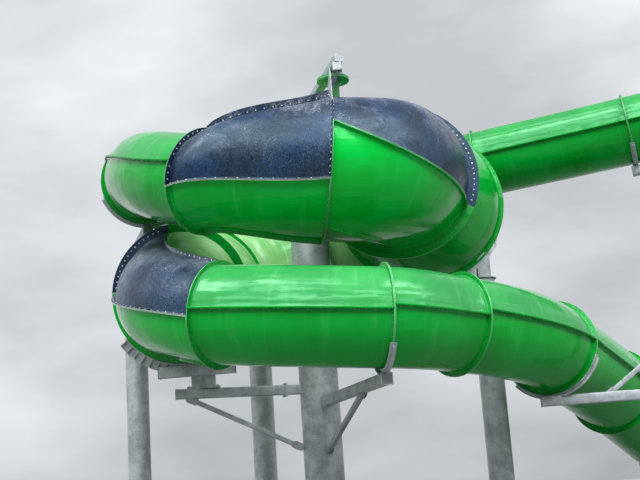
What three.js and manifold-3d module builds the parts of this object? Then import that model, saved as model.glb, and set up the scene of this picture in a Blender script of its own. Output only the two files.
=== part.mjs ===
// Water slide tower: a closed flume of bolted glass-fibre shells that loops once round a main
// steel column. A straight entry tube comes in at the back, the tube widens into a large bowl
// section with dark crown panels, and it leaves low down at the front right.
// Millimetres, +Z up, +X to the right of the front, +Y to the back. The origin is the centre of
// the main column's base plate, on the ground.

import * as THREE from 'three';
import { mergeVertices } from 'three/addons/utils/BufferGeometryUtils.js';
import Module from 'manifold-3d';

const wasm = await Module();
wasm.setup();

// Shells
const SMALL = 1140;          // outer radius of the narrow tube
const WALL = 20;             // wall of a shell
const FLANGE = 110;          // how far the bolted flanges stand off a shell
const PLATE = 24;            // thickness of one flange
const FIT = 0.2;             // half of the gap that two bolted faces keep
const STEP = 2;              // length over which a shell steps up to its ring flange
const HALF_FACETS = 8;       // flat faces round half a shell
const TURN_PER_BAY = 20;     // degrees of bend that one straight piece of a bay stands for
const EASING = 1.8;          // how much of its changes a bay makes near its start
const CLEAR_WIDENING = 400;  // change of radius that makes a bay a bell

// Steel
const COLUMN_SIDES = 16;
const BASE_THICKNESS = 40;
const ARM = 250;             // side of the square hollow arms
const BRACE = 120;           // side of the square hollow braces
const SADDLE = 22;           // thickness of the curved saddle bands
const SADDLE_WIDTH = 150;
const SEAT = 0.35;           // gap where steel meets steel or a ring
const SADDLE_SAG = 0.6;      // most that the flat faces inside a saddle stand off the round
const BAND_STEP = 9;         // degrees of arc of one flat face outside it
const OVERLAP = 5;           // how far welded steel parts run into each other

const COLOURS = {
  green: new THREE.MeshStandardMaterial({ color: 0x0f9a3f, roughness: 0.22, metalness: 0 }),
  dark: new THREE.MeshStandardMaterial({ color: 0x232a3c, roughness: 0.55, metalness: 0 }),
  steel: new THREE.MeshStandardMaterial({ color: 0xa3adb3, roughness: 0.5, metalness: 0.75 }),
};

const radians = THREE.MathUtils.degToRad;
const tower = new THREE.Group();
tower.name = 'water_slide_tower';

// The directions of a cross-section: along the flow, to the right of it and up. The heading of
// the flow is in degrees (0 is +X, 90 is +Y), and fall is how far it drops in a metre of run.
function facing(heading, fall) {
  const turn = radians(heading);
  const along = new THREE.Vector3(Math.cos(turn), Math.sin(turn), -fall).normalize();
  const side = new THREE.Vector3().crossVectors(along, new THREE.Vector3(0, 0, 1)).normalize();
  return { heading, fall, along, side, up: new THREE.Vector3().crossVectors(side, along) };
}

// Ring joints in the order of the flow: centre, heading and fall of the flow, the radius of the
// shell there and how far the ring's flanges stand off it.
const joint = (x, y, z, heading, fall, radius = SMALL, flange = FLANGE) => (
  { centre: new THREE.Vector3(x, y, z), ...facing(heading, fall), radius, flange }
);
const JOINTS = {
  start: joint(15750, 4100, 13240, 164, 0.09),
  entry: joint(10820, 5500, 12790, 164, 0.09),
  straight_end: joint(5920, 6900, 12370, 165, 0.09),
  back_right: joint(2300, 7600, 12020, 175, 0.1),
  back: joint(-1950, 6500, 11580, 214, 0.1),
  back_left: joint(-4330, 3250, 11120, 257, 0.12),
  left: joint(-4480, 0, 10530, 280, 0.1),
  bell_start: joint(-2330, -4600, 9030, 321, 0.28, SMALL, 140),
  bell_end: joint(530, -3800, 9380, 366, 0.1, 1760),
  right_front: joint(2420, -1500, 9620, 446, 0.1, 1890, 300),
  right_back: joint(3180, 500, 9400, 445, 0.1, 2240),
  rear: joint(500, 3500, 8550, 540, 0.2, 2100),
  left_back: joint(-3320, 1000, 7400, 625, 0.16, 1890),
  left_front: joint(-3510, -1000, 7070, 622, 0.1, 1620, 250),
  lower_start: joint(-2100, -4900, 5765, 689.5, 0.15),
  lower_middle: joint(1580, -5300, 5390, 729.6, 0.06),
  lower_right: joint(3380, -3900, 5330, 754, 0.08),
  lower_end: joint(5970, -1600, 4890, 778, 0.2),
  exit: joint(8200, 1500, 3920, 776, 0.3),
  finish: joint(10700, 4750, 2450, 772, 0.36),
};

// A bay runs between two joints. seams gives the angle of each bolted seam at the start and the
// end of the bay, from the right-hand side of the flow (0) over the crown (90). A third number is
// how far the flanges of that seam stand off the shells, where it isn't the usual distance.
const LEVEL = [[0, 0], [180, 180]];
const UPRIGHT = [[-95, -95], [80, 80]];
const BAYS = [
  ['entry_tube_1', 'start', 'entry', LEVEL],
  ['entry_tube_2', 'entry', 'straight_end', LEVEL],
  ['back_bend_1', 'straight_end', 'back_right', LEVEL],
  ['back_bend_2', 'back_right', 'back', LEVEL],
  ['back_bend_3', 'back', 'back_left', LEVEL],
  ['left_bend_1', 'back_left', 'left', LEVEL],
  ['left_bend_2', 'left', 'bell_start', [[28, 14], [208, 194]]],
  ['widening_bell', 'bell_start', 'bell_end', [[-95, -95], [-14, -23], [80, 76, 190]]],
  ['front_bowl', 'bell_end', 'right_front', [[-64, -98], [21, -26], [113, 104]]],
  ['right_bowl', 'right_front', 'right_back', UPRIGHT],
  ['rear_bowl_1', 'right_back', 'rear', UPRIGHT],
  ['rear_bowl_2', 'rear', 'left_back', UPRIGHT],
  ['left_bowl', 'left_back', 'left_front', UPRIGHT],
  ['narrowing_bell', 'left_front', 'lower_start', [[-95, -95], [5, -7], [84, 88]]],
  ['lower_tube_1', 'lower_start', 'lower_middle', [[1, 0], [181, 180]]],
  ['lower_tube_2', 'lower_middle', 'lower_right', [[4, 1], [184, 181]]],
  ['lower_tube_3', 'lower_right', 'lower_end', [[7, 3], [187, 183]]],
  ['exit_tube_1', 'lower_end', 'exit', [[4, 0], [184, 180]]],
  ['exit_tube_2', 'exit', 'finish', LEVEL],
];

function addPiece(name, geometry, colour) {
  const mesh = new THREE.Mesh(geometry, colour.clone());
  mesh.name = name;
  tower.add(mesh);
}

const isBell = (from, to) => Math.abs(from.radius - to.radius) > CLEAR_WIDENING;

// The centre line of a bay. It leaves both joints square to their faces, but a bell's centre line
// keeps one slope.
function centreLine(from, to) {
  const chord = to.centre.clone().sub(from.centre);
  const slope = -chord.z / Math.hypot(chord.x, chord.y);
  const turn = from.along.angleTo(to.along);
  const handle = chord.length() / (3 * Math.cos(turn / 4) ** 2);
  const leaving = (at) => (isBell(from, to) ? facing(at.heading, slope).along : at.along);
  return new THREE.CubicBezierCurve3(
    from.centre,
    from.centre.clone().addScaledVector(leaving(from), handle),
    to.centre.clone().addScaledVector(leaving(to), -handle),
    to.centre,
  );
}

// A value part of the way along a bay, such as the shell's radius or the angle of a seam. It
// changes fast at the start, then slowly.
const eased = (from, to, share) => THREE.MathUtils.lerp(to, from, (1 - share) ** EASING);

// The stations at which a bay's section is drawn. A station says where it is, how its section
// lies, its radius, how far along the bay it is (0 to 1), and how high the ring flange is there.
function stationsOf(from, to) {
  const line = centreLine(from, to);
  const turn = THREE.MathUtils.radToDeg(from.along.angleTo(to.along));
  const fewest = isBell(from, to) ? 2 : 1;
  const steps = Math.max(fewest, Math.round(turn / TURN_PER_BAY));
  const stations = [];
  const flat = (at, offset, share, ring) => ({
    centre: at.centre.clone().addScaledVector(at.along, offset),
    side: at.side,
    up: at.up,
    radius: at.radius,
    share,
    ring,
  });
  stations.push(flat(from, FIT, 0, from.flange));
  stations.push(flat(from, FIT + PLATE, 0, from.flange));
  stations.push(flat(from, FIT + PLATE + STEP, 0, 0));
  for (let i = 1; i < steps; i += 1) {
    const share = i / steps;
    const heading = THREE.MathUtils.lerp(from.heading, to.heading, share);
    const { side, up } = facing(heading, THREE.MathUtils.lerp(from.fall, to.fall, share));
    stations.push({
      centre: line.getPoint(share),
      side,
      up,
      radius: eased(from.radius, to.radius, share),
      share,
      ring: 0,
    });
  }
  stations.push(flat(to, -FIT - PLATE - STEP, 1, 0));
  stations.push(flat(to, -FIT - PLATE, 1, to.flange));
  stations.push(flat(to, -FIT, 1, to.flange));
  return stations;
}

// The closed section of one shell at a station, as [angle in radians, radius] pairs: the inside
// arc, the flange of the last seam, the outside arc and the flange of the first seam.
function sectionOf(station, firstSeam, lastSeam, facets) {
  const { radius, share, ring } = station;
  const seamAngle = ([start, end]) => radians(eased(start, end, share));
  const seamTip = ([, , flange = FLANGE]) => radius + (ring || flange);
  const first = seamAngle(firstSeam) + FIT / radius;
  const last = seamAngle(lastSeam) - FIT / radius;
  const firstTip = seamTip(firstSeam);
  const lastTip = seamTip(lastSeam);
  const section = [];
  for (let i = 0; i <= facets; i += 1) {
    section.push([THREE.MathUtils.lerp(last, first, i / facets), radius - WALL]);
  }
  section.push([first, firstTip], [first + PLATE / firstTip, firstTip]);
  const plate = PLATE / radius;
  for (let i = 0; i <= facets; i += 1) {
    section.push([THREE.MathUtils.lerp(first + plate, last - plate, i / facets), radius + ring]);
  }
  section.push([last - PLATE / lastTip, lastTip], [last, lastTip]);
  return section;
}

function pointAt(station, [angle, radius]) {
  return station.centre.clone()
    .addScaledVector(station.side, radius * Math.cos(angle))
    .addScaledVector(station.up, radius * Math.sin(angle));
}

// Skins the sections of one shell and closes both ends. The inside arc is drawn the other way
// round, and its faces are cut along the same diagonals as the outside's, so that the wall keeps
// its thickness where they twist. A flange's faces are cut from their smaller to their larger
// radius, so that the two sides of a seam are cut alike and stay apart.
function shellGeometry(stations, firstSeam, lastSeam) {
  const span = lastSeam[0] - firstSeam[0];
  const facets = Math.max(3, Math.round((HALF_FACETS * span) / 180));
  const sections = stations.map((station) => sectionOf(station, firstSeam, lastSeam, facets));
  const size = sections[0].length;
  const positions = [];
  stations.forEach((station, row) => {
    sections[row].forEach((corner) => positions.push(...pointAt(station, corner).toArray()));
  });
  const index = [];
  for (let row = 0; row + 1 < stations.length; row += 1) {
    for (let i = 0; i < size; i += 1) {
      const next = (i + 1) % size;
      const a = row * size + i;
      const b = row * size + next;
      const c = a + size;
      const d = b + size;
      const rising = sections[row][next][1] >= sections[row][i][1];
      if (rising && i >= facets) index.push(a, d, b, a, c, d);
      else index.push(a, c, b, b, c, d);
    }
  }
  const capOf = (section) => {
    const flatSection = section.map(([angle, radius]) => (
      new THREE.Vector2(radius * Math.cos(angle), radius * Math.sin(angle))
    ));
    return THREE.ShapeUtils.triangulateShape(flatSection, []);
  };
  capOf(sections[0]).forEach(([a, b, c]) => {
    index.push(a, b, c);
  });
  const last = stations.length - 1;
  capOf(sections[last]).forEach(([a, b, c]) => {
    index.push(last * size + a, last * size + c, last * size + b);
  });
  const geometry = new THREE.BufferGeometry();
  geometry.setAttribute('position', new THREE.Float32BufferAttribute(positions, 3));
  geometry.setIndex(index);
  return geometry;
}

// Two shells make a plain bay: one over and one under, or one outside and one inside the bend.
// A bell or bowl with three shells has a dark one over its outer side.
function shellNames(seams) {
  if (seams.length === 3) return ['outer_lower', 'crown', 'inner'];
  return seams === UPRIGHT ? ['outer', 'inner'] : ['upper', 'lower'];
}

function addBay(name, fromName, toName, seams) {
  const stations = stationsOf(JOINTS[fromName], JOINTS[toName]);
  const names = shellNames(seams);
  seams.forEach((firstSeam, i) => {
    const next = seams[(i + 1) % seams.length];
    const lastSeam = i + 1 < seams.length ? next : [next[0] + 360, next[1] + 360, next[2]];
    const colour = names[i] === 'crown' ? COLOURS.dark : COLOURS.green;
    addPiece(`${name}_${names[i]}`, shellGeometry(stations, firstSeam, lastSeam), colour);
  });
}

// Joining and cutting
function toSolid(geometry) {
  const bare = geometry.clone();
  bare.deleteAttribute('normal');
  bare.deleteAttribute('uv');
  const merged = mergeVertices(bare, 1e-3);
  return new wasm.Manifold(new wasm.Mesh({
    numProp: 3,
    vertProperties: Float32Array.from(merged.attributes.position.array),
    triVerts: Uint32Array.from(merged.index.array),
  }));
}

function toGeometry(solid) {
  const mesh = solid.getMesh();
  const geometry = new THREE.BufferGeometry();
  geometry.setAttribute('position', new THREE.Float32BufferAttribute(mesh.vertProperties, 3));
  geometry.setIndex(Array.from(mesh.triVerts));
  return geometry;
}

const join = (...solids) => solids.reduce((whole, solid) => whole.add(solid));

// Steel shapes
const point = (x, y, z) => new THREE.Vector3(x, y, z);

function box(width, depth, height, centre) {
  const geometry = new THREE.BoxGeometry(width, depth, height);
  geometry.translate(centre.x, centre.y, centre.z);
  return toSolid(geometry);
}

// A straight bar from one point to another, wide across and high in its upright plane.
function bar(from, to, width, height = width) {
  const along = to.clone().sub(from);
  const geometry = new THREE.BoxGeometry(along.length(), width, height);
  const across = point(0, 0, 1).cross(along).normalize();
  const up = along.clone().normalize().cross(across);
  const turn = new THREE.Matrix4().makeBasis(along.normalize(), across, up);
  turn.setPosition(from.clone().add(to).multiplyScalar(0.5));
  geometry.applyMatrix4(turn);
  return toSolid(geometry);
}

function drum(radius, bottom, top, x, y, sides = COLUMN_SIDES) {
  const geometry = new THREE.CylinderGeometry(radius, radius, top - bottom, sides);
  geometry.rotateX(Math.PI / 2);
  geometry.translate(x, y, (top + bottom) / 2);
  return toSolid(geometry);
}

// A column stands on its base plate, between two crossing ribs, and ends in a cap plate.
const CAP_LIP = 60;
const CAP_THICKNESS = 30;
const RIB = 30;
const RIB_REACH = 0.86;      // length of a rib, as a share of the base plate's side
const RIB_HEIGHT = 1.1;      // height of a rib, as a share of the column's radius
function column({ x, y, radius, top, base }) {
  const long = base * RIB_REACH;
  const high = radius * RIB_HEIGHT;
  const ribCentre = point(x, y, BASE_THICKNESS + high / 2 - OVERLAP);
  return join(
    box(base, base, BASE_THICKNESS, point(x, y, BASE_THICKNESS / 2)),
    box(long, RIB, high, ribCentre),
    box(RIB, long, high, ribCentre),
    drum(radius, BASE_THICKNESS - OVERLAP, top - CAP_THICKNESS + OVERLAP, x, y),
    drum(radius + CAP_LIP, top - CAP_THICKNESS, top, x, y),
  );
}

// A disc square to a ring joint, with flat faces that stay outside its round edge.
function ringDisc(ring, radius, width) {
  const sides = Math.ceil(Math.PI / Math.acos(radius / (radius + SADDLE_SAG)));
  const corner = radius + SADDLE_SAG;
  const geometry = new THREE.CylinderGeometry(corner, corner, width, sides);
  const frame = new THREE.Matrix4().makeBasis(ring.side, ring.along, ring.up);
  geometry.applyMatrix4(frame.setPosition(ring.centre));
  return toSolid(geometry);
}

// A curved band round part of a ring joint. It is drawn a little into the ring, and clearOfRing
// then cuts its inside to fit.
function saddle(ring, fromAngle, toAngle, width = SADDLE_WIDTH, thickness = SADDLE) {
  const inner = ring.radius + ring.flange - OVERLAP;
  const outer = ring.radius + ring.flange + thickness;
  const outline = new THREE.Shape();
  const steps = Math.ceil((toAngle - fromAngle) / BAND_STEP);
  const corner = (i, radius) => {
    const angle = radians(THREE.MathUtils.lerp(fromAngle, toAngle, i / steps));
    return [radius * Math.cos(angle), radius * Math.sin(angle)];
  };
  outline.moveTo(...corner(0, outer));
  for (let i = 1; i <= steps; i += 1) outline.lineTo(...corner(i, outer));
  for (let i = steps; i >= 0; i -= 1) outline.lineTo(...corner(i, inner));
  const geometry = new THREE.ExtrudeGeometry(outline, { depth: width, bevelEnabled: false });
  geometry.translate(0, 0, -width / 2);
  const frame = new THREE.Matrix4().makeBasis(ring.side, ring.up, ring.along.clone().negate());
  geometry.applyMatrix4(frame.setPosition(ring.centre));
  return toSolid(geometry);
}

// The point under a ring joint's lowest edge, some way below it.
function underRing(ring, below) {
  return ring.centre.clone().addScaledVector(ring.up, -(ring.radius + ring.flange + below));
}

// Cuts away what would reach into a ring or a column. The ring's cut runs along the tube on both
// sides of it, so that no arm or post runs into the shells there.
const RING_CUT = 1200;
const clearOfRing = (solid, ring) => (
  solid.subtract(ringDisc(ring, ring.radius + ring.flange + SEAT, RING_CUT))
);
const clearOfColumn = (solid, { x, y, radius, top }, lip = 0) => (
  solid.subtract(drum(radius + lip + SEAT, 0, top + SEAT, x, y))
);

// Columns: place, radius, height of the top and side of the base plate
const COLUMNS = {
  main_column: { x: 0, y: 0, radius: 525, top: 12300, base: 1700 },
  left_column: { x: -5440, y: 3200, radius: 330, top: 9020, base: 1200 },
  back_column: { x: -1950, y: 6500, radius: 370, top: 9900, base: 1200 },
  right_column: { x: 4700, y: 300, radius: 330, top: 7150, base: 1200 },
  rear_right_column: { x: 5620, y: 6950, radius: 370, top: 10750, base: 1200 },
  entry_column: { x: 13280, y: 4800, radius: 370, top: 11200, base: 1300 },
  outer_column: { x: 9300, y: -2050, radius: 300, top: 5200, base: 1100 },
  exit_column: { x: 10700, y: 4750, radius: 200, top: 700, base: 800 },
};

const columnSolid = (name) => column(COLUMNS[name]);

// An upright square post.
const post = (x, y, bottom, top, side = ARM) => (
  box(side, side, top - bottom, point(x, y, (bottom + top) / 2))
);

// A column that carries a ring joint itself has a post, a level head and a saddle on its cap.
function saddleColumn(name, ring, spread) {
  const { x, y, top } = COLUMNS[name];
  const seat = underRing(ring, SADDLE);
  const headHeight = seat.z - ARM / 2 + SADDLE;
  const reach = point(seat.x - x, seat.y - y, 0);
  if (reach.length() < 1) reach.set(1, 0, 0);
  const overhang = reach.clone().setLength(ARM / 2);
  const head = bar(
    point(x, y, headHeight).sub(overhang),
    point(seat.x, seat.y, headHeight).add(overhang),
    ARM,
  );
  const parts = [
    columnSolid(name),
    post(x, y, top - OVERLAP, headHeight),
    head,
    saddle(ring, -90 - spread, -90 + spread),
  ];
  return clearOfRing(join(...parts), ring);
}

// The height of an arm's centre line when the arm's top is welded to a saddle under a ring.
const armHeight = (ring, height = ARM) => underRing(ring, SADDLE / 2).z - height / 2;

function addColumns() {
  ['main_column', 'left_column', 'entry_column', 'outer_column'].forEach((name) => {
    addPiece(name, toGeometry(columnSolid(name)), COLOURS.steel);
  });
  [
    ['back_column', JOINTS.back, 55],
    ['rear_right_column', JOINTS.straight_end, 55],
    ['exit_column', JOINTS.finish, 50],
  ].forEach(([name, ring, spread]) => {
    addPiece(name, toGeometry(saddleColumn(name, ring, spread)), COLOURS.steel);
  });
}

// The right column carries the widest ring from below, off its centre. Its post is cut to fit.
function addRightColumn() {
  const ring = JOINTS.right_back;
  const postHeight = 1100;
  const bandWidth = 60;
  const { x, y, top } = COLUMNS.right_column;
  const stem = post(x, y, top - OVERLAP, top + postHeight);
  const whole = join(columnSolid('right_column'), stem, saddle(ring, -66, -30, bandWidth));
  addPiece('right_column', toGeometry(clearOfRing(whole, ring)), COLOURS.steel);
}

// The top arm reaches forward from the head of the main column. A block under its end holds the
// end of the widening bell by a plate down its near side, a strut and a curved band.
const TOP_ARM = { width: 220, depth: 200, end: point(1060, -4200, 12110) };
const HANGER = {
  block: { x: 1000, y: -4080, width: 230, bottom: 11800, top: 12015 },
  strut: { angle: 98, side: 80 },
  plate: { top: 2480, near: 410, far: 120, onRing: [86, 70, 56, 42], tip: 50, thickness: 20 },
  band: [42, 106],
};

// A flat plate in the plane of a ring joint, from [right of the centre, above it] corners.
function ringPlate(ring, corners, thickness) {
  const outline = new THREE.Shape(corners.map(([right, above]) => new THREE.Vector2(right, above)));
  const geometry = new THREE.ExtrudeGeometry(outline, { depth: thickness, bevelEnabled: false });
  geometry.translate(0, 0, -thickness / 2);
  const frame = new THREE.Matrix4().makeBasis(ring.side, ring.up, ring.along.clone().negate());
  geometry.applyMatrix4(frame.setPosition(ring.centre));
  return toSolid(geometry);
}

function addTopArm() {
  const ring = JOINTS.bell_end;
  const { block, strut, plate, band } = HANGER;
  const height = TOP_ARM.end.z;
  const rim = ring.radius + ring.flange;
  const corner = (angle, radius) => [
    radius * Math.cos(radians(angle)),
    radius * Math.sin(radians(angle)),
  ];
  const hangerPlate = ringPlate(ring, [
    [plate.far, plate.top],
    ...plate.onRing.map((angle) => corner(angle, rim - OVERLAP)),
    corner(plate.onRing.at(-1), rim + plate.tip),
    [plate.near, plate.top],
  ], plate.thickness);
  const foot = pointAt(ring, [radians(strut.angle), rim + SADDLE / 2]);
  const strutTop = point(block.x, block.y, block.bottom + OVERLAP);
  const whole = join(
    bar(point(0, 0, height), TOP_ARM.end, TOP_ARM.width, TOP_ARM.depth),
    box(block.width, block.width, block.top - block.bottom, point(
      block.x,
      block.y,
      (block.top + block.bottom) / 2,
    )),
    hangerPlate,
    bar(strutTop, foot, strut.side),
    saddle(ring, ...band, 2 * PLATE),
  );
  const cut = clearOfColumn(clearOfRing(whole, ring), COLUMNS.main_column);
  addPiece('top_arm', toGeometry(cut), COLOURS.steel);
}

// The left arm carries the cradle of the narrowing bell. A brace runs from under it back down to
// the main column.
const LEFT_ARM_END = point(-3720, -1000, 4400);
function addLeftArm() {
  const root = point(0, 0, LEFT_ARM_END.z);
  const braceTop = point(-3450, -930, LEFT_ARM_END.z - 100);
  const braceFoot = point(0, 0, 2850);
  const whole = join(bar(root, LEFT_ARM_END, ARM), bar(braceTop, braceFoot, BRACE));
  addPiece('left_arm', toGeometry(clearOfColumn(whole, COLUMNS.main_column)), COLOURS.steel);
}

// The cradle is a wide band and a deep web under the ring. Its beam crosses the arm on a block
// and a bearing pad.
function addLeftCradle() {
  const ring = JOINTS.left_front;
  const bandWidth = 200;
  const web = { width: 24, depth: 260 };
  const beam = { height: 300, right: 700, left: 1350, underRing: 20 };
  const block = { length: 620, width: 260 };
  const pad = { length: 850, width: 330, thickness: 60, besideSeat: 480 };
  const seat = underRing(ring, SADDLE);
  const across = ring.side.clone().setZ(0).normalize();
  const centre = seat.clone().setZ(seat.z - beam.height / 2 - beam.underRing);
  const armTop = LEFT_ARM_END.z + ARM / 2 + SEAT;
  const padX = seat.x + pad.besideSeat;
  const padY = padX * (LEFT_ARM_END.y / LEFT_ARM_END.x);
  const blockTop = centre.z - beam.height / 2 + OVERLAP;
  const whole = join(
    saddle(ring, -92, -36, bandWidth),
    saddle(ring, -108, -36, web.width, web.depth),
    bar(
      centre.clone().addScaledVector(across, beam.right),
      centre.clone().addScaledVector(across, -beam.left),
      ARM,
      beam.height,
    ),
    box(block.length, block.width, blockTop - armTop, point(padX, padY, (blockTop + armTop) / 2)),
    box(pad.length, pad.width, pad.thickness, point(padX, padY, armTop + pad.thickness / 2)),
  );
  addPiece('left_cradle', toGeometry(clearOfRing(whole, ring)), COLOURS.steel);
}

// An arm under a ring joint, from the main column out past the ring, with its brace. Where the
// tube widens at the ring, the saddle is only as wide as the two flanges.
function mainArm(name, ring, past, braceShare, braceDrop) {
  const width = ring.radius > SMALL ? 2 * PLATE : SADDLE_WIDTH;
  const height = armHeight(ring);
  const seat = underRing(ring, 0);
  const root = point(0, 0, height);
  const tip = point(seat.x, seat.y, height);
  const end = tip.clone().add(tip.clone().sub(root).setLength(past));
  const braceTop = root.clone().lerp(tip, braceShare).setZ(height - ARM / 3);
  const whole = join(
    bar(root, end, ARM),
    bar(braceTop, point(0, 0, height - braceDrop), BRACE),
    saddle(ring, -145, -35, width),
  );
  const cut = clearOfColumn(clearOfRing(whole, ring), COLUMNS.main_column);
  addPiece(name, toGeometry(cut), COLOURS.steel);
}

// The arm on the left column reaches forward to the last ring before the bell. It starts a little
// behind the column's middle and ends just past the ring.
function addLeftColumnArm() {
  const ring = JOINTS.left;
  const braceDrop = 1700;
  const { x, y, top } = COLUMNS.left_column;
  const height = top + SEAT + ARM / 2;
  const seat = underRing(ring, SADDLE / 2);
  const reach = point(seat.x - x, seat.y - y, 0);
  const alongArm = (share) => point(x, y, height).addScaledVector(reach, share);
  const whole = join(
    bar(alongArm(-0.1), alongArm(1.04), ARM),
    bar(alongArm(0.6).setZ(height - ARM / 3), point(x, y, top - braceDrop), BRACE),
    saddle(ring, -125, -20),
  );
  const cut = clearOfColumn(clearOfRing(whole, ring), COLUMNS.left_column, CAP_LIP);
  addPiece('left_column_arm', toGeometry(cut), COLOURS.steel);
}

// A crosshead on the entry column carries both ends of the first bay.
function addEntryCrosshead() {
  const beam = 300;
  const block = { side: 520, height: 450 };
  const braceDrop = 2200;
  const pastRing = 150;
  const { x, y, top } = COLUMNS.entry_column;
  const beamLine = (ring) => underRing(ring, SADDLE / 2).add(point(0, 0, -beam / 2));
  const near = beamLine(JOINTS.entry);
  const far = beamLine(JOINTS.start);
  const overhang = far.clone().sub(near).setLength(pastRing);
  const braceFoot = point(x, y, top - braceDrop);
  const whole = join(
    bar(near.clone().sub(overhang), far, beam),
    box(block.side, block.side, block.height, point(x, y, top + SEAT + block.height / 2)),
    saddle(JOINTS.entry, -145, -35),
    saddle(JOINTS.start, -145, -35, 2 * PLATE),
    ...[0.14, 0.86].map((share) => bar(near.clone().lerp(far, share), braceFoot, BRACE)),
  );
  const cut = clearOfRing(clearOfRing(whole, JOINTS.entry), JOINTS.start);
  const clear = clearOfColumn(cut, COLUMNS.entry_column, CAP_LIP);
  addPiece('entry_crosshead', toGeometry(clear), COLOURS.steel);
}

// The outer arm comes in from the right, hung from its column by a brace over it.
function addOuterArm() {
  const ring = JOINTS.lower_end;
  const height = armHeight(ring);
  const { x, y } = COLUMNS.outer_column;
  const end = point(5560, -1790, height);
  const braceFoot = point(7150, -1900, height);
  const braceTop = point(x, y, 4880);
  const whole = join(
    bar(point(x, y, height), end, ARM),
    bar(braceFoot, braceTop, BRACE),
    saddle(ring, -140, -15),
  );
  const cut = clearOfColumn(clearOfRing(whole, ring), COLUMNS.outer_column);
  addPiece('outer_arm', toGeometry(cut), COLOURS.steel);
}

// A capped vent stands on the crown, just past the widest end of the bell. Its neck is drawn into
// the shell and cut to fit, and of the pieces that the cut leaves, the highest is the vent.
const VENT = { x: 890, y: -3400 };
const VENT_PROFILE = [
  [0, 10900], [150, 10900], [150, 11720], [300, 11790], [410, 11790], [410, 11870],
  [350, 11870], [250, 11955], [0, 11985],
];
function addVent(shell) {
  const profile = VENT_PROFILE.map(([radius, height]) => new THREE.Vector2(radius, height));
  const geometry = new THREE.LatheGeometry(profile, COLUMN_SIDES);
  geometry.rotateX(Math.PI / 2);
  geometry.translate(VENT.x, VENT.y, 0);
  const pieces = toSolid(geometry).subtract(shell.translate(0, 0, SEAT)).decompose();
  const highest = pieces.reduce((best, piece) => (
    piece.boundingBox().max[2] > best.boundingBox().max[2] ? piece : best
  ));
  addPiece('crown_vent', toGeometry(highest), COLOURS.green);
}

for (const [name, from, to, seams] of BAYS) addBay(name, from, to, seams);
addColumns();
addRightColumn();
addTopArm();
addLeftArm();
addLeftCradle();
mainArm('right_arm', JOINTS.lower_middle, 180, 0.72, 1300);
mainArm('rear_arm', JOINTS.rear, 250, 0.7, 1700);
addLeftColumnArm();
addEntryCrosshead();
addOuterArm();
addVent(toSolid(tower.getObjectByName('front_bowl_crown').geometry));

export default tower;
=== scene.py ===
# Water slide tower: the finished surfaces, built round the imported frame.
# Metres, +Z up, +X to the right of the front, +Y to the back.

import math

import bpy
import numpy as np
from mathutils import Matrix, Vector


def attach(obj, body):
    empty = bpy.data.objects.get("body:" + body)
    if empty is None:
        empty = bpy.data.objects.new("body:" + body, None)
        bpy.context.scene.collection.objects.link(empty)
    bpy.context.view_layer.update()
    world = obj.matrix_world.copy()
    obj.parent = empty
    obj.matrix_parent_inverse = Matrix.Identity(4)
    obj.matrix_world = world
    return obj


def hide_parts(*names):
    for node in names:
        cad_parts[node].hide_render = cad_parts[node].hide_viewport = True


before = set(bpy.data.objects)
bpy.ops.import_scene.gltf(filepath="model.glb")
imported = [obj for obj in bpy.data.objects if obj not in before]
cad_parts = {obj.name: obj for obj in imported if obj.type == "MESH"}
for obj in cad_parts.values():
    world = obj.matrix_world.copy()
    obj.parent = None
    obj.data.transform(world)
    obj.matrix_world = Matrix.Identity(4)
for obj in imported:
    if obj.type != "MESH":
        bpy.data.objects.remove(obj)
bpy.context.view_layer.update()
BODY = "root"

# Shells
SMALL = 1.140          # outer radius of the narrow tube
WALL = 0.020           # wall of a shell
FLANGE = 0.110         # how far the bolted flanges stand off a shell
PLATE = 0.024          # thickness of one flange
FIT = 0.0002           # half of the gap that two bolted faces keep
FILLET = 0.022         # rounding between a flange and its shell
EDGE = 0.004           # bevel of a flange's outer edge
STEP = 0.0004          # shortest step between two corners of a section
ARC_STEP = 5.0         # degrees round a shell that one face stands for
TURN_STEP = 3.5        # degrees of bend that one face stands for
LONGEST_FACE = 0.45    # longest face along a straight bay
EASING = 1.8           # how much of its changes a bay makes near its start
CONE = 1.0             # the same for the radius of a bell that widens, which is straight
BELL = 0.400           # change of radius that makes a bay a bell
BELL_STEPS = 14        # fewest faces along a bell
FEWEST_FACETS = 6      # fewest faces round a shell
STRAIGHT = 0.01        # half a turn, in radians, under which a bay counts as straight
SHARP = 32             # degrees between two faces past which their edge stays sharp

# Bolts. A washer and a head have a radius, a height and a number of sides.
RING_BOLT_SPACING = 0.160
SEAM_BOLT_SPACING = 0.200
RING_BOLT_HEIGHT = 0.58   # how high a bolt sits on a ring flange, as a share of the flange
SEAM_BOLT_HEIGHT = 0.064  # how far a bolt on a seam flange stands off the shell
BOLT_CLEARANCE = 0.060    # from a ring bolt to the nearest seam
WASHER = (0.0175, 0.004, 12)
HEAD = (0.0120, 0.012, 6)

# Bolts of the steel, as a size against a shell's bolt
LUG_BOLT = 1.2
PLATE_BOLT = 1.3
ANCHOR_BOLT = 2.2

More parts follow.
